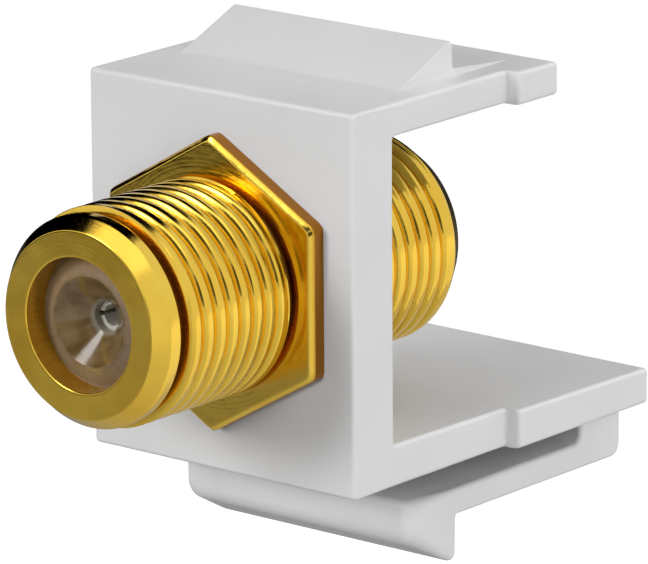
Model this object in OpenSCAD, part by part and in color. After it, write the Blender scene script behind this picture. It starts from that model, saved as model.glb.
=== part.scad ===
// Snap-in panel insert with a double-ended F coupler.
// The coupler's axis is the Y axis, its cable side points to -Y, and the front face
// of the housing's wall lies on the plane Y = 0. +Z is up, away from the latch.

/* [Housing] */
// Width of the front wall and of the front half of both arms
wall_w = 14.5; // [13:0.1:17]
// Height of the front wall, from the lower arm's underside to the upper arm's top
wall_h = 16.65; // [15.5:0.05:19]
// How much higher the coupler's axis is than the middle of the wall
axis_up = 0.075; // [-0.3:0.025:0.3]
// Thickness of the front wall
wall_t = 2.7; // [1.8:0.1:3.5]
// Radius on the housing's outer edges
edge_r = 0.2; // [0.1:0.05:0.5]
// Radius in the inner corners where an arm meets the wall
corner_r = 0.15; // [0.1:0.05:0.8]
// Thickness of the upper arm
top_arm_t = 1.45; // [1:0.05:1.8]
// Length of the upper arm from the wall's front face
top_arm_len = 13.1; // [11:0.1:16]
// Thickness of the lower arm where it leaves the wall
low_arm_t = 1.85; // [1.4:0.05:2.1]
// Thickness of the lower arm at its free end
low_arm_tip_t = 1.6; // [1:0.05:1.8]
// Length of the lower arm from the wall's front face
low_arm_len = 19.7; // [17:0.1:23]
// Distance from the wall's front face to the shoulders on the arms' sides
shoulder_y = 10.4; // [9:0.1:12]
// How far each shoulder stands out from the side
shoulder_out = 0.7; // [0.3:0.05:1.2]

/* [Fixed catch] */
// Width of the wedge on top of the upper arm
catch_w = 12; // [9:0.1:13.5]
// Distance from the wall's front face to the foot of the wedge
catch_y = 5; // [3.5:0.1:6]
// Length of the wedge from its foot to its rear face
catch_len = 3.2; // [2:0.1:4]
// Height of the wedge above the upper arm
catch_h = 1.55; // [0.8:0.05:2.2]
// Height of the small step at the foot of the wedge
catch_step = 0.2; // [0.1:0.05:0.4]
// Height of the shallow slope behind the wedge, where it meets the wedge
back_slope_h = 0.28; // [0.1:0.02:0.5]
// Length of that slope
back_slope_len = 4; // [1:0.1:4.5]

/* [Latch] */
// Width of the latch and of the web that carries it
latch_w = 12.9; // [9:0.1:13.5]
// Height of the slot between the lower arm and the latch
slot_h = 1.45; // [1:0.05:2]
// Radius in the two corners at the slot's closed end
slot_r = 0.35; // [0.1:0.05:0.45]
// Thickness of the latch's flexing arm
latch_t = 1.2; // [0.8:0.05:1.6]
// Length of the web that joins the latch to the lower arm
web_len = 2.95; // [2:0.05:4]
// Distance from the wall's front face to the latch's front face
latch_y = 4.8; // [3.5:0.05:5.5]
// Height of the latch's front face, down to the line of the ramp
latch_front_h = 1.8; // [1:0.05:2]
// Distance from the latch's front face to the hook's rear face
hook_len = 3.15; // [2.5:0.05:5]
// How far the hook reaches below the flexing arm
hook_drop = 2; // [1:0.05:2.6]
// Radius on the latch's upper edge and on the hook
latch_r = 0.35; // [0.1:0.05:0.45]
// Radius between the latch's front face and the ramp
nose_r = 1; // [0.3:0.05:1.2]
// Radius on the two upright edges of the latch's front face
nose_side_r = 0.75; // [0.2:0.05:1.5]
// Radius under the free end of the web
web_r = 0.6; // [0.2:0.05:0.9]

/* [Coupler] */
// Outer diameter of both coupling threads
thread_d = 9.45; // [8.5:0.05:10.4]
// Distance from one thread groove to the next
thread_pitch = 0.79; // [0.7:0.01:1]
// Depth of the thread grooves
thread_depth = 0.4; // [0.2:0.05:0.5]
// Width of each thread groove at the outer diameter
groove_w = 0.45; // [0.3:0.05:0.6]
// How far the plain shank in the wall stands out from the threads, on the radius
shank_step = 0.25; // [0.1:0.05:0.4]
// How far the coupler stands out in front of the wall
front_len = 9.1; // [7:0.1:13]
// How far the coupler reaches behind the wall's front face
rear_len = 11.35; // [9:0.1:15]
// Width of the hexagon across its flats
hex_af = 11.3; // [11:0.1:13]
// Thickness of the hexagon
hex_t = 0.8; // [0.6:0.05:2]
// Chamfer round the hexagon's front face
hex_chamfer = 0.2; // [0.05:0.05:0.4]
// Diameter of the plain collar ahead of the front thread
collar_d = 9.1; // [8.3:0.05:9.4]
// Length of the plain collar with its chamfer
collar_len = 1.25; // [1.1:0.05:2.5]
// Outer diameter of the flat ring at the front mouth
face_d = 8.05; // [7.4:0.05:8.2]
// Length of the chamfer behind the front ring
face_chamfer = 0.7; // [0.3:0.05:1]
// Outer diameter of the flat ring at the rear mouth
rear_face_d = 7.75; // [7.2:0.05:8.2]
// Length of the chamfer at the rear end
rear_chamfer = 1.45; // [0.5:0.05:1.8]
// Diameter of both mouths, inside the rolled lips
mouth_d = 5.75; // [5:0.05:6]
// Length of each rolled lip, which is how deep the insulators sit
lip_len = 1.2; // [0.8:0.05:2]
// Diameter of the insulator seat inside the coupler
seat_d = 6.5; // [6.2:0.05:7]

/* [Insulators and contact] */
// Outer diameter of the centre contact's sleeves
contact_d = 1.8; // [1.4:0.05:2]
// Diameter of the hole that takes a cable's centre wire
wire_d = 0.92; // [0.6:0.02:1.1]
// Depth of each wire hole
wire_depth = 5; // [3:0.1:6.5]
// Width of the slit that splits each sleeve into two fingers
slit_w = 0.2; // [0.1:0.02:0.3]
// Length of the slit
slit_len = 3.5; // [2:0.1:5]
// Diameter of the contact's middle collar, held between the insulators
contact_collar_d = 3; // [2.4:0.1:4.5]
// Length of the contact's middle collar
contact_collar_len = 1.6; // [0.8:0.1:3]
// Diameter of the rim round each insulator's funnel
rim_d = 3.75; // [3:0.05:4.5]
// How far the rim stands out from the insulator's outer edge
rim_rise = 0.5; // [0.2:0.05:0.7]
// Depth of the funnel, from its rim to the guide hole
funnel_depth = 1.1; // [0.6:0.05:1.8]
// Diameter of the guide hole at the bottom of the funnel
guide_d = 1.3; // [1.2:0.05:1.5]
// Length of the guide hole, which is the plastic in front of the contact
guide_len = 0.35; // [0.2:0.05:0.8]

/* [Fits] */
// Radial room between the coupler's shank and the hole in the wall
wall_play = 0.02; // [0.01:0.01:0.1]
// Room round the insulators in their seat and round the contact in the insulators
inner_play = 0.02; // [0.01:0.01:0.05]

/* [Hidden] */
$fn = 96;
arc_steps = 6;
past = 1;

wall_top = wall_h / 2 - axis_up;
wall_low = -wall_h / 2 - axis_up;
rear_w = wall_w + 2 * shoulder_out;

web_front = low_arm_len - web_len;
latch_top = wall_low - slot_h;
latch_low = latch_top - latch_t;
latch_root = web_front - slot_r;
hook_low = latch_low - hook_drop;
hook_rear = latch_y + hook_len;

thread_r = thread_d / 2;
root_r = thread_r - thread_depth;
shank_r = thread_r + shank_step;
collar_r = collar_d / 2;
collar_end = collar_len - front_len;
rear_thread_end = rear_len - rear_chamfer;
seat_r = seat_d / 2;
mouth_r = mouth_d / 2;
contact_r = contact_d / 2;
insulator_r = seat_r - inner_play;
insulator_bore_r = contact_r + inner_play;
coupler_mid = (rear_len - front_len) / 2;
half_len = (rear_len + front_len) / 2;
insulator_len = half_len - lip_len;
funnel_end = insulator_len + rim_rise - funnel_depth;
sleeve_end = funnel_end - guide_len;
collar_pocket = contact_collar_len / 2 + inner_play;

// Points of an arc round c, from angle a0 to angle a1.
function arc(c, r, a0, a1) =
    [for (i = [0:arc_steps]) let (a = a0 + (a1 - a0) * i / arc_steps) c + r * [cos(a), sin(a)]];

// Points (radius, Y) of the V-shaped thread grooves whose middles lie from y0 to y1.
function grooves(y0, y1) =
    [for (y = [y0:thread_pitch:y1])
        each [[thread_r, y - groove_w / 2], [root_r, y], [thread_r, y + groove_w / 2]]];

// Rounded rectangle between two opposite corners.
module rounded_rect(low, high, r) {
    polygon(concat(
        arc([high[0] - r, high[1] - r], r, 0, 90),
        arc([low[0] + r, high[1] - r], r, 90, 180),
        arc([low[0] + r, low[1] + r], r, 180, 270),
        arc([high[0] - r, low[1] + r], r, 270, 360)));
}

// A side profile drawn in (Y, Z), as a slab of width w about the plane X = 0.
module side_slab(w) {
    translate([-w / 2, 0, 0]) rotate([90, 0, 90]) linear_extrude(w) children();
}

// A section drawn in (X, Z), as a bar from depth y0 to depth y1.
module depth_bar(y0, y1) {
    translate([0, y1, 0]) rotate([90, 0, 0]) linear_extrude(y1 - y0) children();
}

// A half section drawn in (radius, Y), turned about the coupler's axis.
module turned() {
    rotate([-90, 0, 0]) mirror([0, 0, 1]) mirror([0, 1, 0])
        rotate([0, 180, 0]) rotate_extrude() children();
}

// C-shaped side profile of the wall and both arms.
module frame_profile() {
    top_in = wall_top - top_arm_t;
    low_in = wall_low + low_arm_t;
    tip_in = wall_low + low_arm_tip_t;
    tip_r = edge_r * 0.8;
    polygon(concat(
        arc([edge_r, wall_low + edge_r], edge_r, 270, 180),
        arc([edge_r, wall_top - edge_r], edge_r, 180, 90),
        arc([top_arm_len - tip_r, wall_top - tip_r], tip_r, 90, 0),
        arc([top_arm_len - tip_r, top_in + tip_r], tip_r, 0, -90),
        arc([wall_t + corner_r, top_in - corner_r], corner_r, 90, 180),
        arc([wall_t + corner_r, low_in + corner_r], corner_r, 180, 270),
        arc([low_arm_len - tip_r, tip_in - tip_r], tip_r, 90, 0),
        [[low_arm_len, wall_low]]));
}

// Plan of the housing: plain sides in front, a shoulder on each side, wider behind.
module plan_outline() {
    front = wall_w / 2;
    rear = rear_w / 2;
    half = concat(
        arc([front - edge_r, edge_r], edge_r, 270, 360),
        [[front, shoulder_y]],
        arc([rear - edge_r, shoulder_y + edge_r], edge_r, 270, 360),
        [[rear, low_arm_len + past]]);
    polygon(concat(half, [for (i = [len(half) - 1:-1:0]) [-half[i][0], half[i][1]]]));
}

// The wedge that hooks behind the panel's upper edge.
module catch_profile() {
    top = wall_top + catch_h;
    rear = catch_y + catch_len;
    tip_r = edge_r / 2;
    slope_end = rear + back_slope_len;
    polygon(concat(
        [[slope_end, wall_top - edge_r], [catch_y, wall_top - edge_r],
         [catch_y, wall_top + catch_step]],
        arc([rear - tip_r, top - tip_r], tip_r, 120, 0),
        [[rear, wall_top + back_slope_h], [slope_end, wall_top]]));
}

// The web under the lower arm, down to the latch's root.
module web_profile() {
    polygon(concat(
        [[low_arm_len, wall_low + edge_r], [latch_root, wall_low + edge_r]],
        [[latch_root, wall_low]],
        arc([web_front - slot_r, wall_low - slot_r], slot_r, 90, 0),
        arc([web_front - slot_r, latch_top + slot_r], slot_r, 0, -90),
        [[latch_root, latch_low]],
        arc([low_arm_len - web_r, latch_low + web_r], web_r, 270, 360)));
}

// The flexing arm and its hook: front face, round nose, straight ramp, tip and upright rear face.
module latch_profile() {
    ramp_drop = latch_top - latch_front_h - hook_low;
    ramp_run = hook_len - latch_r;
    slope = atan2(ramp_drop, ramp_run);
    nose_low = latch_top - latch_front_h + nose_r * tan(45 - slope / 2);
    polygon(concat(
        [[latch_root, latch_top]],
        arc([latch_y + latch_r, latch_top - latch_r], latch_r, 90, 180),
        arc([latch_y + nose_r, nose_low], nose_r, 180, 270 - slope),
        arc([hook_rear - latch_r, hook_low + latch_r], latch_r, 270 - slope, 360),
        arc([hook_rear + latch_r / 2, latch_low - latch_r / 2], latch_r / 2, 180, 90),
        [[latch_root, latch_low]]));
}

module housing() {
    color("white") difference() {
        union() {
            intersection() {
                side_slab(rear_w + past) frame_profile();
                translate([0, 0, wall_low - past]) linear_extrude(wall_h + 2 * past) plan_outline();
                union() {
                    depth_bar(-past, shoulder_y)
                        rounded_rect([-wall_w / 2, wall_low], [wall_w / 2, wall_top], edge_r);
                    depth_bar(shoulder_y, low_arm_len + past)
                        rounded_rect([-rear_w / 2, wall_low], [rear_w / 2, wall_top], edge_r);
                }
            }
            side_slab(catch_w) catch_profile();
            side_slab(latch_w) web_profile();
        }
        rotate([-90, 0, 0]) translate([0, 0, -past])
            cylinder(r = shank_r + wall_play, h = wall_t + 2 * past);
    }
}

// Plan of the latch: round upright edges at its front.
module latch_plan() {
    half = concat(
        arc([latch_w / 2 - nose_side_r, latch_y + nose_side_r], nose_side_r, 270, 360),
        [[latch_w / 2, latch_root + past]]);
    polygon(concat(half, [for (i = [len(half) - 1:-1:0]) [-half[i][0], half[i][1]]]));
}

module latch() {
    color("white") intersection() {
        side_slab(latch_w + past) latch_profile();
        translate([0, 0, hook_low - past]) linear_extrude(latch_top - hook_low + 2 * past) latch_plan();
    }
}

// Hexagon with a corner at the top and a chamfer round its front face.
module hexagon_flange() {
    corner_r = hex_af / sqrt(3);
    difference() {
        rotate([90, 0, 0]) rotate([0, 0, 90]) cylinder(r = corner_r, h = hex_t, $fn = 6);
        for (a = [30:60:330]) rotate([0, a, 0])
            translate([hex_af / 2, -hex_t + hex_chamfer, 0]) rotate([0, 0, -45])
                translate([0, -hex_t, -corner_r]) cube([hex_af, 2 * hex_t, 2 * corner_r]);
    }
}

// The front thread's first groove starts at the collar. The grooves are rings, one pitch apart.
module coupler_body() {
    first = collar_end + groove_w / 2;
    color("gold") difference() {
        union() {
            turned() polygon(concat(
                [[0, -front_len], [face_d / 2, -front_len],
                 [collar_r, face_chamfer - front_len], [collar_r, collar_end],
                 [root_r, first], [thread_r, first + groove_w / 2]],
                grooves(first + thread_pitch, -hex_t - groove_w / 2),
                [[thread_r, -hex_t / 2], [shank_r, -hex_t / 2], [shank_r, wall_t], [thread_r, wall_t]],
                grooves(wall_t + thread_pitch / 2, rear_thread_end - groove_w / 2),
                [[thread_r, rear_thread_end], [rear_face_d / 2, rear_len], [0, rear_len]]));
            hexagon_flange();
        }
        turned() polygon([
            [0, -front_len - past], [mouth_r, -front_len - past], [mouth_r, lip_len - front_len],
            [seat_r, lip_len - front_len], [seat_r, rear_len - lip_len],
            [mouth_r, rear_len - lip_len], [mouth_r, rear_len + past], [0, rear_len + past]]);
    }
}

// One insulator, turned about the coupler's axis, with its funnel towards side * Y.
module insulator(side) {
    pocket_r = contact_collar_d / 2 + inner_play;
    profile = [
        [pocket_r, 0], [insulator_r, 0], [insulator_r, insulator_len],
        [mouth_r - inner_play, insulator_len], [rim_d / 2, insulator_len + rim_rise],
        [guide_d / 2, funnel_end], [guide_d / 2, sleeve_end],
        [insulator_bore_r, sleeve_end], [insulator_bore_r, collar_pocket],
        [pocket_r, collar_pocket]];
    color("tan") turned() polygon([for (p = profile) [p[0], coupler_mid + side * p[1]]]);
}

module front_insulator() {
    insulator(-1);
}

module rear_insulator() {
    insulator(1);
}

// Double-ended sleeve with a collar in the middle and two fingers at each end.
module centre_contact() {
    reach = sleeve_end - inner_play;
    collar_half = contact_collar_len / 2;
    color("silver") difference() {
        turned() polygon([
            [0, coupler_mid - reach], [contact_r, coupler_mid - reach],
            [contact_r, coupler_mid - collar_half], [contact_collar_d / 2, coupler_mid - collar_half],
            [contact_collar_d / 2, coupler_mid + collar_half], [contact_r, coupler_mid + collar_half],
            [contact_r, coupler_mid + reach], [0, coupler_mid + reach]]);
        for (side = [-1, 1]) {
            translate([0, coupler_mid + side * (reach - wire_depth / 2 + past / 2), 0])
                rotate([90, 0, 0]) cylinder(d = wire_d, h = wire_depth + past, center = true);
            translate([0, coupler_mid + side * (reach - slit_len / 2 + past / 2), 0])
                cube([contact_d + past, slit_len + past, slit_w], center = true);
        }
    }
}

housing();
latch();
coupler_body();
front_insulator();
rear_insulator();
centre_contact();
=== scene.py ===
import math

import bmesh
import bpy
import numpy as np
from mathutils import Matrix, Vector


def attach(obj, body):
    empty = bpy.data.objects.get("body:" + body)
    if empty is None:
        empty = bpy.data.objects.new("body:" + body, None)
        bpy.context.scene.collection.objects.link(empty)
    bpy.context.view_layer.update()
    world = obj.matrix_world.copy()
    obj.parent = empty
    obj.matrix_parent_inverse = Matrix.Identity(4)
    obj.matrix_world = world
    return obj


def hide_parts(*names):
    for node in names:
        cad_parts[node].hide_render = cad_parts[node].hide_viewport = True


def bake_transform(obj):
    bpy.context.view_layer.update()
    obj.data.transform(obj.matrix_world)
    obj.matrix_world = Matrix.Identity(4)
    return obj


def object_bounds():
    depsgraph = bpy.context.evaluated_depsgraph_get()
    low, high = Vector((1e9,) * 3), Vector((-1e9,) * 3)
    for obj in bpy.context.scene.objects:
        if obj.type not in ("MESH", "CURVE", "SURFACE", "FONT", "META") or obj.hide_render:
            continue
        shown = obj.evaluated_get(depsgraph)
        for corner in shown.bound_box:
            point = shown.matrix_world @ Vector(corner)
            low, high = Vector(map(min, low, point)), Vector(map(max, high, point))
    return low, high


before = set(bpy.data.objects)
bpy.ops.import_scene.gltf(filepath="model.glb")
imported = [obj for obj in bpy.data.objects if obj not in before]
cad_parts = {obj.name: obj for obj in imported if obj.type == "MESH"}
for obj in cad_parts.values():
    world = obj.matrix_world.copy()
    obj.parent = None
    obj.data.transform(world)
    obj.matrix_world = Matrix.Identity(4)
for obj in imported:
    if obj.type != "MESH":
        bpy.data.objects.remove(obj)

cad_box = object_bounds()

# Camera.
# The photograph looks at the insert from its front right and a little above, from about
# 28 cm away through a long lens, so the lines along the arms hardly draw together.
MM = 0.001
CAMERA_AZIMUTH = math.radians(39.45)
CAMERA_ELEVATION = math.radians(14.96)
CAMERA_ROLL = math.radians(-0.39)
CAMERA_DISTANCE = 275.3 * MM
PICTURE_MIDDLE_RIGHT = 4.375 * MM
PICTURE_MIDDLE_UP = -0.045 * MM
SENSOR_WIDTH = 36
LENS = 361.8
NEAREST_SEEN = 10 * MM
FARTHEST_SEEN = 10


def camera_axes(azimuth, elevation, roll):
    """Right, up and back of a camera that stands at azimuth from -Y towards +X, and looks down."""
    back = Vector((math.sin(azimuth) * math.cos(elevation),
                   -math.cos(azimuth) * math.cos(elevation),
                   math.sin(elevation)))
    level_right = Vector((0, 0, 1)).cross(back).normalized()
    level_up = back.cross(level_right)
    right = math.cos(roll) * level_right + math.sin(roll) * level_up
    return right, back.cross(right), back


right, up, back = camera_axes(CAMERA_AZIMUTH, CAMERA_ELEVATION, CAMERA_ROLL)
camera = bpy.data.objects.new("camera", bpy.data.cameras.new("camera"))
camera.data.sensor_fit = "HORIZONTAL"
camera.data.sensor_width = SENSOR_WIDTH
camera.data.lens = LENS
camera.data.clip_start = NEAREST_SEEN
camera.data.clip_end = FARTHEST_SEEN
stand = right * PICTURE_MIDDLE_RIGHT + up * PICTURE_MIDDLE_UP + back * CAMERA_DISTANCE
camera.matrix_world = Matrix.Translation(stand) @ Matrix((right, up, back)).transposed().to_4x4()
bpy.context.scene.collection.objects.link(camera)
bpy.context.scene.camera = camera

# White moulding: wall, upper arm and lower arm.
# One injection-moulded piece of white ABS with a satin skin. The front wall carries the
# coupler, both arms run back from it, and a shoulder on each side stops it in the panel.
WALL_HALF_WIDTH = 7.25
SHOULDER_HALF_WIDTH = 7.95
SHOULDER_Y = 10.4
SHOULDER_INNER_RADIUS = 0.12
SHOULDER_OUTER_RADIUS = 0.2
WALL_TOP = 8.25
WALL_LOW = -8.4
WALL_THICK = 2.7
TOP_ARM_THICK = 1.45
TOP_ARM_LENGTH = 13.1
LOW_ARM_THICK = 1.85
LOW_ARM_TIP_THICK = 1.6
LOW_ARM_LENGTH = 19.7
EDGE_RADIUS = 0.2
INNER_RADIUS = 0.15
SHANK_HOLE_RADIUS = 4.995
ARM_STATIONS = (4.5, 7.0)
WALL_STEPS = 8
EDGE_STEPS = 6
CORNER_STEPS = 12
FILLET_STEPS = 4
SHOULDER_STEPS = 5
HOLE_STEPS = 96
DRILL_OVERSHOOT = 1.0
SHARP_ANGLE = 40


def arc(centre, radius, start, end, steps):
    """Points of a circle round centre, from angle start to angle end in degrees."""
    angle = np.radians(np.linspace(start, end, steps + 1))
    return np.asarray(centre) + radius * np.stack([np.cos(angle), np.sin(angle)], 1)


def grid_faces(rows, columns, wrap_rows=False):
    """Quads between neighbours of a grid of vertices numbered row by row, each row a ring.

    With wrap_rows the last row joins the first, so that the surface closes on itself."""
    starts = np.arange(rows if wrap_rows else rows - 1)
    r, c = np.meshgrid(starts, np.arange(columns), indexing="ij")
    r_next, c_next = (r + 1) % rows, (c + 1) % columns
    corners = [r * columns + c, r * columns + c_next,
               r_next * columns + c_next, r_next * columns + c]
    return np.stack(corners, -1).reshape(-1, 4).tolist()


def end_caps(rows, columns):
    """The first and the last row of a grid of vertices, each as one face."""
    last = (rows - 1) * columns
    return [list(range(columns)), list(range(last, last + columns))]


def piece(name, points, faces, material, sharp=SHARP_ANGLE):
    """A smooth object at the origin, from points in millimetres, with its faces turned outwards.

    Edges that bend by more than the sharp angle stay crisp."""
    mesh = bpy.data.meshes.new(name)
    mesh.from_pydata((np.asarray(points) * MM).tolist(), [], faces)
    work = bmesh.new()
    work.from_mesh(mesh)
    bmesh.ops.recalc_face_normals(work, faces=work.faces)
    work.to_mesh(mesh)
    work.free()
    mesh.shade_smooth()
    mesh.set_sharp_from_angle(angle=math.radians(sharp))
    mesh.materials.append(material)
    made = bpy.data.objects.new(name, mesh)
    bpy.context.scene.collection.objects.link(made)
    return made


def keep_flats_flat(made):
    """Let the wide faces set the normals, so that only the rounded edges turn the light."""
    weighted = made.modifiers.new("wide faces first", "WEIGHTED_NORMAL")
    weighted.weight = 100
    weighted.keep_sharp = True


def shoulder_path():
    """Stations (Y, half width) past a shoulder: a small fillet, a step and a round corner.

    Both the fillet and the corner are quarter circles, tangent to the arm's side and the step."""
    inner, outer = SHOULDER_INNER_RADIUS, SHOULDER_OUTER_RADIUS
    return np.concatenate([
        arc((SHOULDER_Y - inner, WALL_HALF_WIDTH + inner), inner, -90, 0, FILLET_STEPS),
        arc((SHOULDER_Y + outer, SHOULDER_HALF_WIDTH - outer), outer, 180, 90, SHOULDER_STEPS)])


def swept_frame():
    """Wall and arms as one bar of rounded-rectangle section, carried along a C.

    Each station has a half width, and an outer and an inner point in the (Y, Z) plane. The
    section between them is their rectangle inset by the edge radius, plus a rounding of radius
    less inset. inset is 0 along the bar and r (1 - cos a) towards both free ends, while the
    station itself draws back by r (1 - sin a)."""
    root = WALL_THICK + INNER_RADIUS
    top_in = WALL_TOP - TOP_ARM_THICK
    low_in = WALL_LOW + LOW_ARM_THICK
    turn = np.linspace(0, math.pi / 2, EDGE_STEPS + 1)
    drawn_back = EDGE_RADIUS * (1 - np.sin(turn))
    end_inset = EDGE_RADIUS * (1 - np.cos(turn))

    def arm(length):
        """Stations (Y, half width) from an arm's root past its shoulder to its free end."""
        plain = np.array([(y, WALL_HALF_WIDTH) for y in (root, *ARM_STATIONS)])
        end = np.stack([length - drawn_back, np.full(EDGE_STEPS + 1, SHOULDER_HALF_WIDTH)], 1)
        return np.concatenate([plain, shoulder_path(), end])

    top, low = arm(TOP_ARM_LENGTH)[::-1], arm(LOW_ARM_LENGTH)
    share = (low[:, 0] - root) / (LOW_ARM_LENGTH - root)
    wall = np.linspace(top_in - INNER_RADIUS, low_in + INNER_RADIUS, WALL_STEPS + 1)[1:-1]
    outer = np.concatenate([
        np.stack([top[:, 0], np.full(len(top), WALL_TOP)], 1),
        arc((EDGE_RADIUS, WALL_TOP - EDGE_RADIUS), EDGE_RADIUS, 90, 180, CORNER_STEPS),
        np.stack([0 * wall, wall], 1),
        arc((EDGE_RADIUS, WALL_LOW + EDGE_RADIUS), EDGE_RADIUS, 180, 270, CORNER_STEPS),
        np.stack([low[:, 0], np.full(len(low), WALL_LOW)], 1)])
    inner = np.concatenate([
        np.stack([top[:, 0], np.full(len(top), top_in)], 1),
        arc((root, top_in - INNER_RADIUS), INNER_RADIUS, 90, 180, CORNER_STEPS),
        np.stack([0 * wall + WALL_THICK, wall], 1),
        arc((root, low_in + INNER_RADIUS), INNER_RADIUS, 180, 270, CORNER_STEPS),
        np.stack([low[:, 0], low_in + share * (LOW_ARM_TIP_THICK - LOW_ARM_THICK)], 1)])
    half_width = np.full(len(outer), WALL_HALF_WIDTH)
    half_width[:len(top)] = top[:, 1]
    half_width[-len(low):] = low[:, 1]
    inset = np.zeros(len(outer))
    inset[:EDGE_STEPS + 1] = end_inset[::-1]
    inset[-EDGE_STEPS - 1:] = end_inset

    across = inner - outer
    thick = np.linalg.norm(across, axis=1)[:, None]
    across = across / thick
    quarter = np.repeat(np.arange(4), EDGE_STEPS + 1)
    angle = np.tile(turn, 4) + quarter * math.pi / 2
    side = np.array([1, -1, -1, 1])[quarter]
    deep = np.array([1, 1, -1, -1])[quarter]
    radius = EDGE_RADIUS - inset[:, None]
    along = thick / 2 + (thick / 2 - EDGE_RADIUS) * deep + radius * np.sin(angle)
    x = (half_width[:, None] - EDGE_RADIUS) * side + radius * np.cos(angle)
    y, z = (outer[:, None, i] + across[:, None, i] * along for i in range(2))
    return np.stack([x, y, z], -1).reshape(-1, 3), grid_faces(*x.shape) + end_caps(*x.shape)


class Wire:
    """A shader socket that joins in Python arithmetic, where each step becomes a Math node."""

    def __init__(self, tree, socket=None):
        self.tree = tree
        self.socket = socket

    def node(self, kind, sockets=(), output=0, **settings):
        """One node: first its settings, then its sockets' values or links."""
        made = self.tree.nodes.new(kind)
        for name, setting in settings.items():
            setattr(made, name, setting)
        for name, given in dict(sockets).items():
            if isinstance(given, Wire):
                self.tree.links.new(given.socket, made.inputs[name])
            else:
                made.inputs[name].default_value = given
        return Wire(self.tree, made.outputs[output] if made.outputs else None)

    def math(self, operation, *others):
        """A Math node of this value and, where the operation takes them, of others."""
        return self.node("ShaderNodeMath", dict(enumerate((self, *others))), operation=operation)

    def __add__(self, other):
        return self.math("ADD", other)

    def __mul__(self, other):
        return self.math("MULTIPLY", other)

    def __sub__(self, other):
        return self.math("SUBTRACT", other)

    def __rsub__(self, other):
        return self * -1 + other

    def __truediv__(self, other):
        return self.math("DIVIDE", other)

    def __pow__(self, other):
        return self.math("POWER", other)

    __radd__ = __add__
    __rmul__ = __mul__

    def parts(self):
        """X, Y and Z of a vector."""
        return [self.node("ShaderNodeSeparateXYZ", {0: self}, output=i) for i in range(3)]

    def noise(self, scale, detail=2.0, roughness=0.5):
        """Noise between 0 and 1, at so many waves a metre."""
        return self.node("ShaderNodeTexNoise", {"Vector": self, "Scale": scale, "Detail": detail,
                                                "Roughness": roughness})

    def between(self, low, high, to_low=0.0, to_high=1.0):
        """This value carried from one range to another, and held there."""
        return self.node("ShaderNodeMapRange", {"Value": self, "From Min": low, "From Max": high,
                                                "To Min": to_low, "To Max": to_high})

    def mix(self, first, second):
        """The first colour where this value is 0, and the second where it is 1."""
        return self.node("ShaderNodeMix", {0: self, 6: first, 7: second}, output=2,
                         data_type="RGBA")

    def bump(self, height, strength=1.0):
        """A normal that makes this value look like a relief of that height in metres."""
        return self.node("ShaderNodeBump", {"Height": self, "Distance": height,
                                            "Strength": strength})


def new_material(name):
    """An empty node material, and the Object coordinates of what wears it."""
    material = bpy.data.materials.new(name)
    material.use_nodes = True
    tree = material.node_tree
    tree.nodes.clear()
    return material, Wire(tree).node("ShaderNodeTexCoord", output=3)


def finish_with(material, shader):
    """Send a shader to the material's output."""
    shader.node("ShaderNodeOutputMaterial", {"Surface": shader})
    return material


WHITE = (0.77, 0.77, 0.775, 1)
WHITE_FLOW = (0.74, 0.74, 0.742, 1)
FLOW_WAVES = 160
POLISH_WAVES = 420
MOULD_GRAIN_WAVES = 9000
MOULD_GRAIN_HEIGHT = 0.004 * MM


def white_abs():
    """Satin white ABS: faint flow clouds, and the fine grain of a spark-eroded mould."""
    material, place = new_material("white_abs")
    clouds = place.noise(FLOW_WAVES, 3).between(0.35, 0.7)
    polish = place.noise(POLISH_WAVES, 3).between(0.3, 0.7, 0.36, 0.46)
    grain = place.noise(MOULD_GRAIN_WAVES, 2, 0.6)
    return finish_with(material, place.node("ShaderNodeBsdfPrincipled", {
        "Base Color": clouds.mix(WHITE, WHITE_FLOW), "Roughness": polish,
        "IOR": 1.5, "Normal": grain.bump(MOULD_GRAIN_HEIGHT, 0.5)}))


abs_plastic = white_abs()
housing_shell = piece("housing_shell", *swept_frame(), abs_plastic)

hole = arc((0, 0), SHANK_HOLE_RADIUS, 0, 360, HOLE_STEPS)[:-1]
drill_points = [np.stack([hole[:, 0], np.full(HOLE_STEPS, y), hole[:, 1]], 1)
                for y in (-DRILL_OVERSHOOT, WALL_THICK + DRILL_OVERSHOOT)]
drill = piece("drill", np.concatenate(drill_points),
              grid_faces(2, HOLE_STEPS) + end_caps(2, HOLE_STEPS), abs_plastic)
cut = housing_shell.modifiers.new("hole for the coupler", "BOOLEAN")
cut.operation = "DIFFERENCE"
cut.solver = "EXACT"
cut.object = drill
drilled = housing_shell.evaluated_get(bpy.context.evaluated_depsgraph_get())
housing_shell.data = bpy.data.meshes.new_from_object(drilled)
housing_shell.modifiers.clear()
housing_shell.data.set_sharp_from_angle(angle=math.radians(SHARP_ANGLE))
bpy.data.objects.remove(drill)
keep_flats_flat(housing_shell)
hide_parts("housing")
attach(housing_shell, "insert")

# Fixed catch on the upper arm.
# A wedge moulded on top of the upper arm. Its ramp faces forward, its upright rear face hooks
# behind the upper edge of the panel's opening, and a shallow slope runs on behind it.
CATCH_HALF_WIDTH = 6.0
CATCH_FOOT_Y = 4.6
CATCH_REAR_Y = 8.2
CATCH_HEIGHT = 1.55
CATCH_TOE = 0.7
CATCH_TOE_SUNK = 0.03
CATCH_TOE_RADIUS = 1.6
CATCH_TIP_RADIUS = 0.09
CATCH_HEEL_RADIUS = 0.3
CATCH_ARC_STEPS = 6
CATCH_EDGE = 0.13
CATCH_EDGE_SHARE = 0.3
CATCH_FOOT_FILLET = 0.6
CATCH_FOOT_SHARE = 0.8
BACK_SLOPE_HEIGHT = 0.28
BACK_SLOPE_END_Y = 12.2
BACK_SLOPE_SUNK = 0.01
CATCH_SUNK = 0.3
CATCH_SHARP = 50


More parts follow.
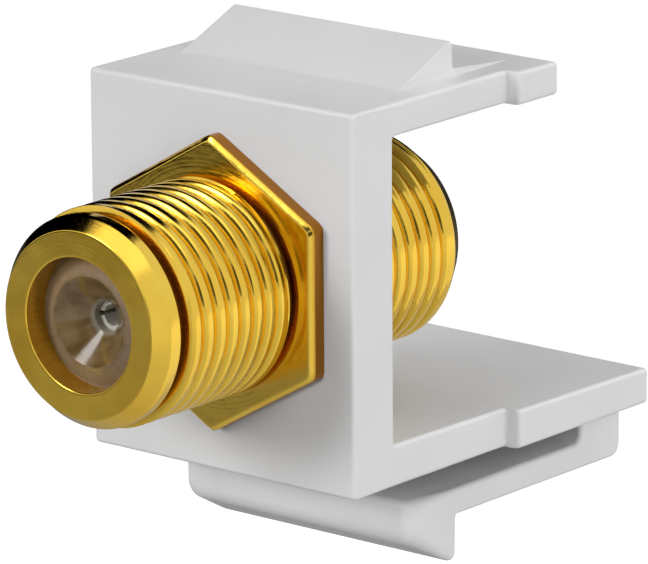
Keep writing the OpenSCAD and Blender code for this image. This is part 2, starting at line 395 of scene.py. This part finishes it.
def rounded_line(corners, radii, steps=4):
    """An open line whose inner corners are replaced by arcs, each tangent to both its sides.

    With the line bending by b at a corner, the arc's centre lies r / cos(b / 2) inwards from the
    corner, and the arc starts r tan(b / 2) before it."""
    corners = np.asarray(corners, float)
    ahead = np.diff(corners, axis=0)
    ahead /= np.linalg.norm(ahead, axis=1)[:, None]
    a, b = ahead[:-1], ahead[1:]
    bend = np.arctan2(a[:, 0] * b[:, 1] - a[:, 1] * b[:, 0], np.sum(a * b, 1))
    radius = np.asarray(radii, float)[:, None]
    inward = (b - a) / np.linalg.norm(b - a, axis=1)[:, None]
    centre = corners[1:-1] + inward * radius / np.cos(bend / 2)[:, None]
    first = corners[1:-1] - a * radius * np.tan(np.abs(bend) / 2)[:, None] - centre
    swing = bend[:, None] * np.linspace(0, 1, steps + 1)
    angle = np.arctan2(first[:, 1], first[:, 0])[:, None] + swing
    points = centre[:, None] + radius[..., None] * np.stack([np.cos(angle), np.sin(angle)], -1)
    return np.concatenate([corners[:1], points.reshape(-1, 2), corners[-1:]])


def wedge_surface():
    """The wedge and the slope behind it, as sections across X at stations (Y, height).

    Half a section is a hollow quarter circle at the foot, of radius min(0.6, 0.8 height), the
    upright side, and a round quarter circle at the top edge, of radius min(0.13, 0.3 height)."""
    line = rounded_line(
        [(CATCH_FOOT_Y - CATCH_TOE, -CATCH_TOE_SUNK), (CATCH_FOOT_Y, 0),
         (CATCH_REAR_Y, CATCH_HEIGHT), (CATCH_REAR_Y, BACK_SLOPE_HEIGHT),
         (BACK_SLOPE_END_Y, -BACK_SLOPE_SUNK)],
        [CATCH_TOE_RADIUS, CATCH_TIP_RADIUS, CATCH_HEEL_RADIUS], CATCH_ARC_STEPS)
    y, height = line[:, :1], line[:, 1:]
    foot = np.clip(CATCH_FOOT_SHARE * height, 0, CATCH_FOOT_FILLET)
    edge = np.clip(CATCH_EDGE_SHARE * height, 0, CATCH_EDGE)
    turn = np.linspace(0, math.pi / 2, EDGE_STEPS + 1)[None]
    reach = np.concatenate([CATCH_HALF_WIDTH + foot,
                            CATCH_HALF_WIDTH + foot * (1 - np.sin(turn)),
                            CATCH_HALF_WIDTH - edge * (1 - np.cos(turn))], 1)
    rise = np.concatenate([0 * foot - CATCH_SUNK, foot * (1 - np.cos(turn)),
                           height - edge * (1 - np.sin(turn))], 1)
    x = np.concatenate([reach, -reach[:, ::-1]], 1)
    z = WALL_TOP + np.concatenate([rise, rise[:, ::-1]], 1)
    return (np.stack([x, np.broadcast_to(y, x.shape), z], -1).reshape(-1, 3),
            grid_faces(*x.shape) + end_caps(*x.shape))


fixed_catch = piece("fixed_catch", *wedge_surface(), abs_plastic, CATCH_SHARP)
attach(fixed_catch, "insert")

# Latch under the lower arm.
# The flexing arm starts at a web at the lower arm's free end, runs forward under it and ends
# in a hook. It is moulded in one with the housing, so its mesh bends at the root.
LATCH_WIDTH = 12.9
SLOT_HEIGHT = 1.45
SLOT_RADIUS = 0.35
LATCH_THICK = 1.2
WEB_LENGTH = 2.95
WEB_RADIUS = 0.6
WEB_IN_ARM = 0.3
WEB_SET_BACK = 0.02
LATCH_Y = 4.8
LATCH_FRONT_HEIGHT = 1.8
NOSE_LENGTH = 2.4
NOSE_RISE = 0.001
NOSE_TOP_RADIUS = 0.35
NOSE_RADIUS = 1.0
TIP_RADIUS = 0.35
TIP_OVERSHOOT = 0.217
HOOK_LENGTH = 3.15
HOOK_DROP = 2.0
HOOK_ROOT_RADIUS = 0.18
CRISP_RADIUS = 0.02
SMALLEST_RADIUS = 0.004
LATCH_EDGE = 0.22
LATCH_NOSE_EDGE = 0.72
LATCH_TIP_EDGE = 0.25
LONGEST_STRETCH = 0.4
web_front = LOW_ARM_LENGTH - WEB_LENGTH
latch_top = WALL_LOW - SLOT_HEIGHT
latch_low = latch_top - LATCH_THICK
nose_low = latch_top - LATCH_FRONT_HEIGHT
hook_low = latch_low - HOOK_DROP
hook_rear = LATCH_Y + HOOK_LENGTH


def rounded_slab(corners, radii, edges, width, arc_steps=5):
    """A closed outline in (Y, Z) with round corners, carried across X, with round side edges.

    Towards each side the outline's corners move inwards by e (1 - cos a) along their mitres,
    and X moves out by e sin a, where e is the edge radius at that corner. A convex corner's
    radius shrinks by the same amount and a concave one's grows. Each round corner is an arc
    about the point r / sin(h) along its bisector, h being half the inner angle. Long straight
    stretches are divided, so that the slab can bend."""
    corners = np.asarray(corners, float)
    edges = np.broadcast_to(edges, len(corners))
    ahead = np.roll(corners, -1, 0) - corners
    ahead /= np.linalg.norm(ahead, axis=1)[:, None]
    behind = np.roll(ahead, 1, 0)
    area = np.sum(corners[:, 0] * np.roll(corners[:, 1], -1)
                  - corners[:, 1] * np.roll(corners[:, 0], -1))
    hand = np.sign(area)
    normals = [hand * np.stack([d[:, 1], -d[:, 0]], 1) for d in (behind, ahead)]
    mitre = (normals[0] + normals[1]) / (1 + np.sum(normals[0] * normals[1], 1))[:, None]
    bend = hand * (behind[:, 0] * ahead[:, 1] - behind[:, 1] * ahead[:, 0])

    turn = np.linspace(0, math.pi / 2, EDGE_STEPS + 1)
    turn = np.concatenate([-turn[::-1], turn])[:, None]
    side = np.repeat([-1, 1], EDGE_STEPS + 1)[:, None]
    inset = edges * (1 - np.cos(turn))
    x = side * (width / 2 - edges) + edges * np.sin(turn)
    at = corners - inset[..., None] * mitre
    radii = np.asarray(radii)
    radius = np.where(bend > 0, np.maximum(radii - inset, SMALLEST_RADIUS), radii + inset)
    half = (math.pi - np.arctan2(np.abs(bend), np.sum(behind * ahead, 1))) / 2
    inward = (ahead - behind) / np.linalg.norm(ahead - behind, axis=1)[:, None]
    centre = at + inward * (radius / np.sin(half))[..., None]
    first = at - behind * (radius / np.tan(half))[..., None] - centre
    swing = np.sign(bend) * hand * (math.pi - 2 * half)
    swing = swing[:, None] * np.linspace(0, 1, arc_steps + 1)
    angle = np.arctan2(first[..., 1], first[..., 0])[..., None] + swing
    out = np.stack([np.cos(angle), np.sin(angle)], -1)
    ring = centre[:, :, None] + radius[..., None, None] * out
    ring = ring.reshape(len(turn), -1, 2)
    x = np.repeat(x, arc_steps + 1, axis=1)

    middle = ring[EDGE_STEPS]
    gaps = np.linalg.norm(np.roll(middle, -1, 0) - middle, axis=1)
    counts = np.maximum(1, np.ceil(gaps / LONGEST_STRETCH).astype(int))
    index = np.repeat(np.arange(len(counts)), counts)
    firsts = np.repeat(np.cumsum(counts) - counts, counts)
    share = (np.arange(len(index)) - firsts) / counts[index]
    after = (index + 1) % len(counts)
    ring = ring[:, index] + share[:, None] * (ring[:, after] - ring[:, index])
    x = x[:, index] + share * (x[:, after] - x[:, index])
    return (np.concatenate([x[..., None], ring], -1).reshape(-1, 3),
            grid_faces(*x.shape) + end_caps(*x.shape))


# Each corner of the J-shaped outline: its place, its radius and its side edges' radius.
web_rear = LOW_ARM_LENGTH - WEB_SET_BACK
latch_corners = [
    ((web_rear, WALL_LOW + WEB_IN_ARM), CRISP_RADIUS, LATCH_EDGE),
    ((web_front, WALL_LOW + WEB_IN_ARM), CRISP_RADIUS, LATCH_EDGE),
    ((web_front, latch_top), SLOT_RADIUS, LATCH_EDGE),
    ((LATCH_Y + NOSE_LENGTH, latch_top), CRISP_RADIUS, LATCH_EDGE),
    ((LATCH_Y, latch_top + NOSE_RISE), NOSE_TOP_RADIUS, LATCH_NOSE_EDGE),
    ((LATCH_Y, nose_low), NOSE_RADIUS, LATCH_NOSE_EDGE),
    ((hook_rear, hook_low - TIP_OVERSHOOT), TIP_RADIUS, LATCH_TIP_EDGE),
    ((hook_rear, latch_low), HOOK_ROOT_RADIUS, LATCH_EDGE),
    ((web_rear, latch_low), WEB_RADIUS, LATCH_EDGE)]
latch_surface = rounded_slab(*zip(*latch_corners), LATCH_WIDTH)
latch_spring = piece("latch_spring", *latch_surface, abs_plastic)
keep_flats_flat(latch_spring)
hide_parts("latch")
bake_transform(latch_spring)

# Coupler body.
# One brass bar turned on a lathe, threaded at both ends round a hexagon, and plated with
# bright gold. Its mouths are rolled in over the insulators.
FRONT_LENGTH = 9.1
REAR_LENGTH = 11.35
THREAD_RADIUS = 4.725
THREAD_PITCH = 0.79
THREAD_DEPTH = 0.4
COLLAR_RADIUS = 4.55
COLLAR_LENGTH = 1.25
NECK_WIDTH = 0.45
NECK_RADIUS = 4.05
NECK_FRONT_SLOPE = 0.06
NECK_REAR_SLOPE = 0.1
NECK_REAR_STEP = 0.1
FACE_RADIUS = 4.025
FACE_CHAMFER = 0.7
REAR_FACE_RADIUS = 3.875
REAR_CHAMFER = 1.45
REAR_LAND = 0.15
MOUTH_RADIUS = 2.875
LIP_LENGTH = 1.2
SEAT_RADIUS = 3.25
HEX_APOTHEM = 5.65
HEX_THICK = 0.8
HEX_CHAMFER = 0.2
HEX_REAR_GAP = 0.001
HEX_FACE_ANGLE = 30
HEX_CORNER_POWER = 80
FLANGE_START = 0.6
FLANGE_START_SHARE = 0.3
SHANK_RADIUS = 4.975
THREAD_GAP = 0.05
FRONT_FADE = 0.15
REAR_FADE = 0.2
UNDERCUT_GAP = 0.25
UNDERCUT_WIDTH = 0.2
UNDERCUT_STEP = 0.05
GROOVE_SHARE = 0.85
GROOVE_POWER = 2.6
HOLD_MARGIN = 0.04
COLUMNS = 192
ROWS_PER_PITCH = 15
collar_end = COLLAR_LENGTH - FRONT_LENGTH
neck_end = collar_end + NECK_WIDTH
rear_chamfer_start = REAR_LENGTH - REAR_CHAMFER
thread_root = THREAD_RADIUS - THREAD_DEPTH


def smooth_step(value, low, high):
    """0 below low, 1 above high, and 3t^2 - 2t^3 between, where t runs from 0 to 1."""
    t = np.clip((value - low) / (high - low), 0, 1)
    return t * t * (3 - 2 * t)


def hexagon_reach(angle):
    """Distance from the axis to a hexagon's rim over its apothem, with a corner at angle 0.

    It is 1 / (sum of max(0, cos(angle - face))^n)^(1/n) over the six faces, which rounds the
    corners a little."""
    faces = math.radians(HEX_FACE_ANGLE) + np.arange(6) * math.pi / 3
    facing = np.maximum(0, np.cos(angle[..., None] - faces))
    return np.sum(facing ** HEX_CORNER_POWER, -1) ** (-1 / HEX_CORNER_POWER)


def thread_height(y, angle):
    """Height of the thread from 0 in the groove's middle to 1 on the crest.

    y / pitch - angle / turn is constant along a right-hand helix. With t the distance from the
    groove's middle over 85% of half a pitch, the height is 1 - (1 - t)^2.6, which gives a
    narrow groove and a rounded crest."""
    phase = (y / THREAD_PITCH - angle / (2 * math.pi)) % 1
    away = np.clip(np.abs(phase - 0.5) * 2 / GROOVE_SHARE, 0, 1)
    return 1 - (1 - away) ** GROOVE_POWER


def turned(name, section, material):
    """A closed surface of revolution from rows (y, radius, hexagon share, groove depth).

    x = R sin a and z = R cos a, where R = radius (1 + share (hexagon reach - 1))
    - depth (1 - thread height)."""
    angle = np.linspace(0, 2 * math.pi, COLUMNS + 1)[None, :-1]
    y, radius, share, depth = (column[:, None] for column in section.T)
    reach = (radius * (1 + share * (hexagon_reach(angle) - 1))
             - depth * (1 - thread_height(y, angle)))
    y = np.broadcast_to(y, reach.shape)
    points = np.stack([reach * np.sin(angle), y, reach * np.cos(angle)], -1).reshape(-1, 3)
    return piece(name, points, grid_faces(*reach.shape, wrap_rows=True), material)


def rows(outline, share=0.0, depth=0.0):
    """Rows (y, radius, hexagon share, groove depth) from an outline in (y, radius)."""
    outline = np.asarray(outline, float)
    extra = [np.broadcast_to(v, len(outline)) for v in (share, depth)]
    return np.column_stack([outline, *extra])


def held(outline):
    """The outline with a point close to each end of its longer stretches.

    Only the narrow rows at the edges then carry the turn of the light, and flats look flat."""
    points = [outline[0]]
    for start, end in zip(outline[:-1], outline[1:]):
        length = np.linalg.norm(end - start)
        step = (end - start) * HOLD_MARGIN / length
        if length > 4 * HOLD_MARGIN:
            points += [start + step, end - step]
        points.append(end)
    return np.array(points)


def threaded(start, end, fade):
    """Rows of a thread from start to end, whose grooves fade in at one end and out at the other.

    The depth is the full one times a smooth step up over the first fade and one down over
    the last."""
    y = np.arange(start, end, THREAD_PITCH / ROWS_PER_PITCH)
    fade_in = smooth_step(y, start, start + fade)
    fade_out = 1 - smooth_step(y, end - fade, end)
    outline = np.stack([y, np.full_like(y, THREAD_RADIUS)], 1)
    return rows(outline, 0, THREAD_DEPTH * fade_in * fade_out)


def coupler_section():
    """The coupler's half section as one closed loop, from the front lip along the outside.

    Each list of corners in (y, radius) is followed by the radii of its inner corners."""
    front_lip = LIP_LENGTH - FRONT_LENGTH
    front = rounded_line(
        [(front_lip, SEAT_RADIUS), (front_lip, MOUTH_RADIUS),
         (-FRONT_LENGTH, MOUTH_RADIUS), (-FRONT_LENGTH, FACE_RADIUS),
         (FACE_CHAMFER - FRONT_LENGTH, COLLAR_RADIUS), (collar_end, COLLAR_RADIUS),
         (collar_end + NECK_FRONT_SLOPE, NECK_RADIUS), (neck_end - NECK_REAR_SLOPE, NECK_RADIUS),
         (neck_end, THREAD_RADIUS - NECK_REAR_STEP)],
        [0.03, 0.07, 0.08, 0.3, 0.08, 0.05, 0.05])
    flange = rounded_line(
        [(-HEX_THICK, thread_root + FLANGE_START), (-HEX_THICK, HEX_APOTHEM - HEX_CHAMFER),
         (HEX_CHAMFER - HEX_THICK, HEX_APOTHEM), (-HEX_REAR_GAP, HEX_APOTHEM)],
        [0.15, 0.15])
    rear_lip = REAR_LENGTH - LIP_LENGTH
    rear = rounded_line(
        [(rear_chamfer_start, THREAD_RADIUS), (rear_chamfer_start + REAR_LAND, THREAD_RADIUS),
         (REAR_LENGTH, REAR_FACE_RADIUS), (REAR_LENGTH, MOUTH_RADIUS),
         (rear_lip, MOUTH_RADIUS), (rear_lip, SEAT_RADIUS)],
        [0.4, 0.25, 0.07, 0.03])
    front, flange, rear = (held(line) for line in (front, flange, rear))
    flange_share = np.r_[FLANGE_START_SHARE, np.ones(len(flange) - 1)]
    front_thread = threaded(neck_end + THREAD_GAP, -HEX_THICK - UNDERCUT_GAP, FRONT_FADE)
    undercut = [(-HEX_THICK - UNDERCUT_WIDTH, thread_root + UNDERCUT_STEP),
                (-HEX_THICK, thread_root)]
    shank = [(0, SHANK_RADIUS), (WALL_THICK, SHANK_RADIUS), (WALL_THICK, THREAD_RADIUS)]
    rear_thread = threaded(WALL_THICK + THREAD_GAP, rear_chamfer_start - THREAD_GAP, REAR_FADE)
    return np.concatenate([rows(front), front_thread, rows(undercut), rows(flange, flange_share),
                           rows(shank), rear_thread, rows(rear)])


GOLD = (0.95, 0.655, 0.095, 1)
GOLD_DEEP = (0.90, 0.565, 0.065, 1)
# Painted shade for the bottom of the thread and the neck behind the collar.
GOLD_GROOVE_PAINTED_SHADE = (0.15, 0.073, 0.014, 1)
# Painted reflection of the shaded wall, and painted shade, on the hexagon's sides.
GOLD_RIM_PAINTED_SHADE = (0.42, 0.17, 0.02, 1)
# Painted shade on the hexagon's front face.
GOLD_FLANGE_PAINTED_SHADE = (0.72, 0.49, 0.078, 1)
TONE_WAVES = 380
STAIN_WAVES = 900
SKIN_WAVES = 1700
TURNED_RING_WAVES = 9000
GOLD_RELIEF = 0.011 * MM
# Painted shade in the thread grooves: full below the first radius, gone above the second.
GROOVE_DARK_BELOW = 4.42
GROOVE_BRIGHT_ABOVE = 4.56
GROOVE_WANDER = 0.1
# How strong the painted shade in the neck is.
NECK_PAINTED_SHADE = 0.55
FACE_RELIEF = 0.15


def beyond(y, start, end):
    """How far Y lies outside a span, as |Y - middle| - half its length.

    The span is given in millimetres, while Y and the result are in metres."""
    return (y - (start + end) / 2 * MM).math("ABSOLUTE") - (end - start) / 2 * MM


def gold_plate():
    """Bright gold over turned brass: fine rings about the Y axis, and a faintly uneven skin.

    Shade is painted into the colour: a dark brown at the bottom of the thread and in the
    neck behind the collar, a dark orange brown on the hexagon's sides as a painted
    reflection of the shaded wall beside them, and a darker gold on the hexagon's front face
    as painted shade. The front ring's face is polished smoother than the rest."""
    material, place = new_material("gold_plate")
    x, y, z = place.parts()
    out = (x * x + z * z) ** 0.5
    tone = place.noise(TONE_WAVES, 3).between(0.3, 0.7)
    rings = place.node("ShaderNodeCombineXYZ", {0: out, 1: y}).noise(TURNED_RING_WAVES, 2)
    skin = place.noise(SKIN_WAVES, 3)
    stain = place.noise(STAIN_WAVES, 3).between(0.3, 0.75, 0.1, 0.2)
    beyond_front = beyond(y, neck_end + THREAD_GAP, -HEX_THICK - THREAD_GAP)
    beyond_rear = beyond(y, WALL_THICK + THREAD_GAP, rear_chamfer_start - THREAD_GAP)
    on_thread = beyond_front.math("MINIMUM", beyond_rear).between(0, 0.08 * MM, 1, 0)
    # Painted shade in the narrow neck behind the collar.
    neck_painted_shade = beyond(y, collar_end + 0.03, neck_end - 0.02).between(0, 0.06 * MM, NECK_PAINTED_SHADE, 0)
    uneven_out = out + skin * (GROOVE_WANDER * MM)
    # Painted shade at the bottom of both threads and in the neck, by radius.
    deep = on_thread.math("MAXIMUM", neck_painted_shade) * uneven_out.between(
        GROOVE_DARK_BELOW * MM, GROOVE_BRIGHT_ABOVE * MM, 1, 0)
    # Painted reflection of the shaded wall, and painted shade, on the hexagon's sides.
    rim = (y.between((0.12 - HEX_THICK) * MM, (0.25 - HEX_THICK) * MM)
           * out.between((HEX_APOTHEM - 0.35) * MM, (HEX_APOTHEM - 0.15) * MM))
    # Painted shade on the hexagon's front face.
    flange = beyond(y, -HEX_THICK - 0.02, -HEX_THICK + 0.02).between(0, 0.04 * MM, 1, 0)
    bright = flange.mix(tone.mix(GOLD, GOLD_DEEP), GOLD_FLANGE_PAINTED_SHADE)
    colour = rim.mix(deep.mix(bright, GOLD_GROOVE_PAINTED_SHADE), GOLD_RIM_PAINTED_SHADE)
    marks = (rings - 0.5) * 0.8 + (skin - 0.5) * 1.5
    relief = marks * y.between((0.02 - FRONT_LENGTH) * MM, (0.15 - FRONT_LENGTH) * MM,
                               FACE_RELIEF, 1)
    return finish_with(material, place.node("ShaderNodeBsdfPrincipled", {
        "Base Color": colour, "Metallic": 1.0, "Roughness": stain + deep * 0.2,
        "Normal": relief.bump(GOLD_RELIEF, 0.65)}))


gold_coupler = turned("gold_coupler", coupler_section(), gold_plate())
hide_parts("coupler_body")
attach(gold_coupler, "insert")

# Insulators.
# Two equal turned pieces of clear, slightly brown plastic, one behind each mouth. Each has a
# raised rim and a funnel that guides the cable's wire into the contact.
INSULATOR_RADIUS = 3.23
INSULATOR_BORE = 0.92
GUIDE_RADIUS = 0.65
GUIDE_LENGTH = 0.35
RIM_RADIUS = 1.95
RIM_BEVEL = 0.06
RIM_BEVEL_WIDTH = 0.1
RIM_RISE = 0.5
SHOULDER_ROOM = 0.05
FUNNEL_DEPTH = 1.1
COUPLER_MIDDLE = (REAR_LENGTH - FRONT_LENGTH) / 2
INSULATOR_LENGTH = (REAR_LENGTH + FRONT_LENGTH) / 2 - LIP_LENGTH
COLLAR_POCKET_RADIUS = 1.52
COLLAR_POCKET_DEPTH = 0.82
FUNNEL_ARC_STEPS = 5


def insulator_section(side):
    """Closed half section of an insulator whose funnel opens towards side * Y.

    A corner is its distance from the coupler's middle and its radius about the axis. The
    rounding of the inner corners follows them."""
    rim = INSULATOR_LENGTH + RIM_RISE
    guide = rim - FUNNEL_DEPTH
    line = rounded_line(
        [(0, COLLAR_POCKET_RADIUS), (0, INSULATOR_RADIUS), (INSULATOR_LENGTH, INSULATOR_RADIUS),
         (INSULATOR_LENGTH, MOUTH_RADIUS - SHOULDER_ROOM),
         (rim - RIM_BEVEL, RIM_RADIUS + RIM_BEVEL_WIDTH), (rim, RIM_RADIUS), (guide, GUIDE_RADIUS),
         (guide - GUIDE_LENGTH, GUIDE_RADIUS), (guide - GUIDE_LENGTH, INSULATOR_BORE),
         (COLLAR_POCKET_DEPTH, INSULATOR_BORE), (COLLAR_POCKET_DEPTH, COLLAR_POCKET_RADIUS)],
        [0.02, 0.05, 0.02, 0.06, 0.06, 0.12, 0.04, 0.02, 0.02], FUNNEL_ARC_STEPS)
    return rows(line * (side, 1) + (COUPLER_MIDDLE, 0))


CLEAR_BROWN = (0.125, 0.072, 0.02, 1)
CLEAR_GREY = (0.22, 0.142, 0.062, 1)
FROSTED = (0.29, 0.21, 0.145, 1)
WORN_PALE = (0.34, 0.32, 0.25, 1)
SPOKE_WAVES = 26
CLOUD_WAVES = 1300
CUTTER_RING_WAVES = 5000
CLEAR_RELIEF = 0.02 * MM
FROST_START_RADIUS = 1.9
FROST_FULL_RADIUS = 2.1
WORN_FULL_RADIUS = 0.72
WORN_END_RADIUS = 0.95
WORN_WANDER = 0.2


def clear_dielectric():
    """Clear brown plastic: a funnel with faint turned rings, and a frosted rim with radial marks.

    Round the guide hole the wires that were pushed in have worn it pale."""
    material, place = new_material("clear_dielectric")
    x, y, z = place.parts()
    out = (x * x + z * z) ** 0.5
    spokes = place.node("ShaderNodeCombineXYZ", {0: x / out, 1: z / out})
    mark = spokes.noise(SPOKE_WAVES, 3, 0.65)
    rings = place.node("ShaderNodeCombineXYZ", {0: out, 1: y}).noise(CUTTER_RING_WAVES, 1)
    cloud = place.noise(CLOUD_WAVES, 3)
    frost = out.between(FROST_START_RADIUS * MM, FROST_FULL_RADIUS * MM)
    worn = (out + cloud * (WORN_WANDER * MM)).between(
        WORN_FULL_RADIUS * MM, WORN_END_RADIUS * MM, 1, 0)
    body = worn.mix(cloud.between(0.35, 0.65).mix(CLEAR_BROWN, CLEAR_GREY), WORN_PALE)
    return finish_with(material, place.node("ShaderNodeBsdfPrincipled", {
        "Base Color": frost.mix(body, mark.between(0.3, 0.6).mix(CLEAR_GREY, FROSTED)),
        "Roughness": frost * 0.3 + cloud.between(0.2, 0.8, 0.06, 0.12), "IOR": 1.49,
        "Normal": (mark * frost + cloud * 0.5 + rings * 0.5).bump(CLEAR_RELIEF, 0.5)}))


clear_plastic = clear_dielectric()
for side, end_name in ((-1, "front"), (1, "rear")):
    funnel = turned(end_name + "_funnel", insulator_section(side), clear_plastic)
    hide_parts(end_name + "_insulator")
    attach(funnel, "insert")

# Centre contact.
# A tin-plated sleeve, split into two springy fingers at each end and held between the
# insulators. It keeps its CAD shape and takes a dull metal, drawn along its length.
TIN = (0.78, 0.74, 0.66, 1)
TIN_DARK = (0.60, 0.57, 0.50, 1)
DRAWN_WAVES = 9000
DRAWN_STRETCH = 0.08
DRAWN_HEIGHT = 0.004 * MM


def tin_plate():
    """Dull tin under a skin of oxide: streaks along the sleeve, from noise stretched along Y."""
    material, place = new_material("tin_plate")
    along = place.node("ShaderNodeMapping", {"Vector": place, "Scale": (1, DRAWN_STRETCH, 1)})
    streak = along.noise(DRAWN_WAVES, 2)
    return finish_with(material, place.node("ShaderNodeBsdfPrincipled", {
        "Base Color": streak.between(0.35, 0.65).mix(TIN, TIN_DARK), "Metallic": 0.25,
        "Roughness": streak.between(0.2, 0.8, 0.48, 0.62),
        "Normal": streak.bump(DRAWN_HEIGHT, 0.5)}))


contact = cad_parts["centre_contact"]
contact.data.materials.clear()
contact.data.materials.append(tin_plate())

# Studio.
# A white floor below the insert, soft lamps round it, and a surround whose dark and bright
# parts only mirrors see, as black flags and soft boxes put them into polished metal.
PURE_WHITE = (1, 1, 1, 1)
FLOOR_SKIN = (0.3, 0.3, 0.3, 1)
FLOOR_DROP = 120 * MM
FLOOR_HALF = 2.0
FLOOR_GLOW = 1.0
FLOOR_LEFT_GREY = 0.36
FLOOR_RIGHT_GREY = 0.66
FAR_RIGHT_GAIN = 0.16
RIGHT_BACK_GAIN = 0.25
BACK_LEFT_LOSS = 0.33
FAR_FRONT_LOSS = 0.34
WORLD_LIGHT = 0.04
MIRROR_LEVEL = 0.82
SOFT_BOX_STRENGTH = 0.5
BULB_STRENGTH = 8
CAMERA_FLAG_STRENGTH = 0.9


def seen_directly(tree):
    """Two values of 0 or 1: whether the camera looks this way, and whether a mirror does.

    A mirror's ray counts only while no matt skin has scattered it before."""
    light_path = tree.nodes.new("ShaderNodeLightPath").outputs
    camera_ray, glossy, matt_before = (
        Wire(tree, light_path[name])
        for name in ("Is Camera Ray", "Is Glossy Ray", "Diffuse Depth"))
    return camera_ray, glossy * matt_before.math("LESS_THAN", 0.5)


def flat_sheet(name, corners, material):
    """One flat piece of the studio, which is not part of the object."""
    mesh = bpy.data.meshes.new(name)
    mesh.from_pydata(corners, [], [(0, 1, 2, 3)])
    mesh.materials.append(material)
    sheet = bpy.data.objects.new(name, mesh)
    bpy.context.scene.collection.objects.link(sheet)


def floor_white():
    """Matt white that keeps shadows, and glows where it is the background.

    Seen in metal it is a grey that lightens from left to right. It is lighter again far to the
    right and at the right back, and darker at the back left and far in front on the left. The
    places are in metres from the origin."""
    material, place = new_material("floor_white")
    x, y = place.parts()[:2]
    direct, mirror = seen_directly(material.node_tree)
    matt = place.node("ShaderNodeBsdfDiffuse", {"Color": FLOOR_SKIN})
    glow = place.node("ShaderNodeEmission", {"Color": PURE_WHITE, "Strength": FLOOR_GLOW})
    lit = place.node("ShaderNodeAddShader", {0: matt, 1: glow})
    back_left = x.between(-0.25, -0.05, 1, 0) * y.between(0.05, 0.3)
    right_back = x.between(0.0, 0.08) * y.between(-0.035, 0.01)
    far_right = x.between(0.12, 0.4)
    far_front = y.between(-0.442, -0.41, 1, 0) * x.between(-0.35, -0.335, 1, 0)
    level = (x.between(-0.12, 0.1, FLOOR_LEFT_GREY, FLOOR_RIGHT_GREY)
             + far_right * FAR_RIGHT_GAIN + right_back * RIGHT_BACK_GAIN
             - back_left * BACK_LEFT_LOSS - far_front * FAR_FRONT_LOSS)
    grey = place.node("ShaderNodeEmission", {
        "Color": place.node("ShaderNodeCombineXYZ", {0: level, 1: level, 2: level})})
    shown = place.node("ShaderNodeMixShader", {0: mirror, 1: matt, 2: grey})
    return finish_with(material, place.node("ShaderNodeMixShader", {0: direct, 1: shown, 2: lit}))


floor_z = cad_box[0][2] - FLOOR_DROP
floor_corners = [(FLOOR_HALF * x, FLOOR_HALF * y, floor_z)
                 for x, y in ((-1, -1), (1, -1), (1, 1), (-1, 1))]
flat_sheet("studio_floor", floor_corners, floor_white())

world = bpy.data.worlds.new("studio")
world.use_nodes = True
bpy.context.scene.world = world
world.node_tree.nodes.clear()
sky = Wire(world.node_tree).node("ShaderNodeTexCoord")


def towards(direction, inner, outer):
    """1 within the inner angle of a direction and 0 outside the outer one, both in degrees."""
    along = sky.node("ShaderNodeVectorMath", {0: sky, 1: Vector(direction).normalized()},
                     output=1, operation="DOT_PRODUCT")
    return along.between(math.cos(math.radians(outer)), math.cos(math.radians(inner)))


def any_of(flags):
    """1 where at least one of the flags stands, as the greatest of their values."""
    covered = towards(*flags[0])
    for flag in flags[1:]:
        covered = covered.math("MAXIMUM", towards(*flag))
    return covered


# Each flag or light: its direction, and the angles within which it is full and outside which
# it has ended.
LEFT_FLAGS = (
    ((-0.76, 0.60, 0.27), 41, 47),
    ((-0.85, -0.05, 0.52), 25, 31),
    ((-0.45, 0.42, 0.79), 27, 32),
    ((-0.10, 0.22, 0.97), 13, 19),
)
CAMERA_FLAGS = (
    ((0.61, -0.75, 0.15), 11, 18),
    ((0.2, -0.78, 0.61), 13, 21),
)
SOFT_BOX = ((0.10, -0.30, 0.95), 24, 34)
BULB = ((-0.30, -0.53, 0.79), 8, 15)

direct, mirror = seen_directly(world.node_tree)
lights = (towards(*SOFT_BOX) * SOFT_BOX_STRENGTH + towards(*BULB) * BULB_STRENGTH
          + MIRROR_LEVEL)
strength = lights * (1 - any_of(LEFT_FLAGS)) * (1 - any_of(CAMERA_FLAGS) * CAMERA_FLAG_STRENGTH)
soft = sky.node("ShaderNodeBackground", {"Color": PURE_WHITE, "Strength": WORLD_LIGHT})
mirrored = sky.node("ShaderNodeBackground", {"Color": PURE_WHITE, "Strength": strength})
white = sky.node("ShaderNodeBackground", {"Color": PURE_WHITE, "Strength": 1.0})
unseen = sky.node("ShaderNodeMixShader", {0: mirror, 1: soft, 2: mirrored})
sky.node("ShaderNodeOutputWorld", {"Surface": sky.node("ShaderNodeMixShader", {
    0: direct, 1: unseen, 2: white})})


def soft_lamp(name, towards_lamp, distance, size, power):
    """A square area lamp that stands in a direction from the insert and shines back at it."""
    lamp = bpy.data.lights.new(name, "AREA")
    lamp.size = size
    lamp.energy = power
    made = bpy.data.objects.new(name, lamp)
    direction = Vector(towards_lamp).normalized()
    made.matrix_world = (Matrix.Translation(direction * distance)
                         @ direction.to_track_quat("Z", "Y").to_matrix().to_4x4())
    made.visible_glossy = False
    bpy.context.scene.collection.objects.link(made)


# Each lamp: its name, its direction, its distance and size in metres, and its power in watts.
LAMPS = (
    ("lamp_key", (-0.35, -0.9, 0.35), 0.4, 0.12, 0.68),
    ("lamp_left", (-0.7, -0.7, 0.25), 0.4, 0.12, 0.1),
    ("lamp_front", (0.1, -1.0, 0.27), 0.4, 0.12, 0.44),
    ("lamp_right", (1.0, -0.2, 0.33), 0.4, 0.3, 0.64),
    ("lamp_low_right", (1.0, 0.3, -0.2), 0.4, 0.2, 0.62),
    ("lamp_top", (0.1, 0.1, 1.0), 0.4, 0.3, 0.34),
    ("lamp_behind_top", (0.1, 0.9, 0.7), 0.4, 0.25, 0.85),
    ("lamp_behind_left", (-1.0, 0.6, 0.0), 0.4, 0.3, 0.6),
)
for lamp in LAMPS:
    soft_lamp(*lamp)

bpy.context.scene.view_settings.view_transform = "Standard"
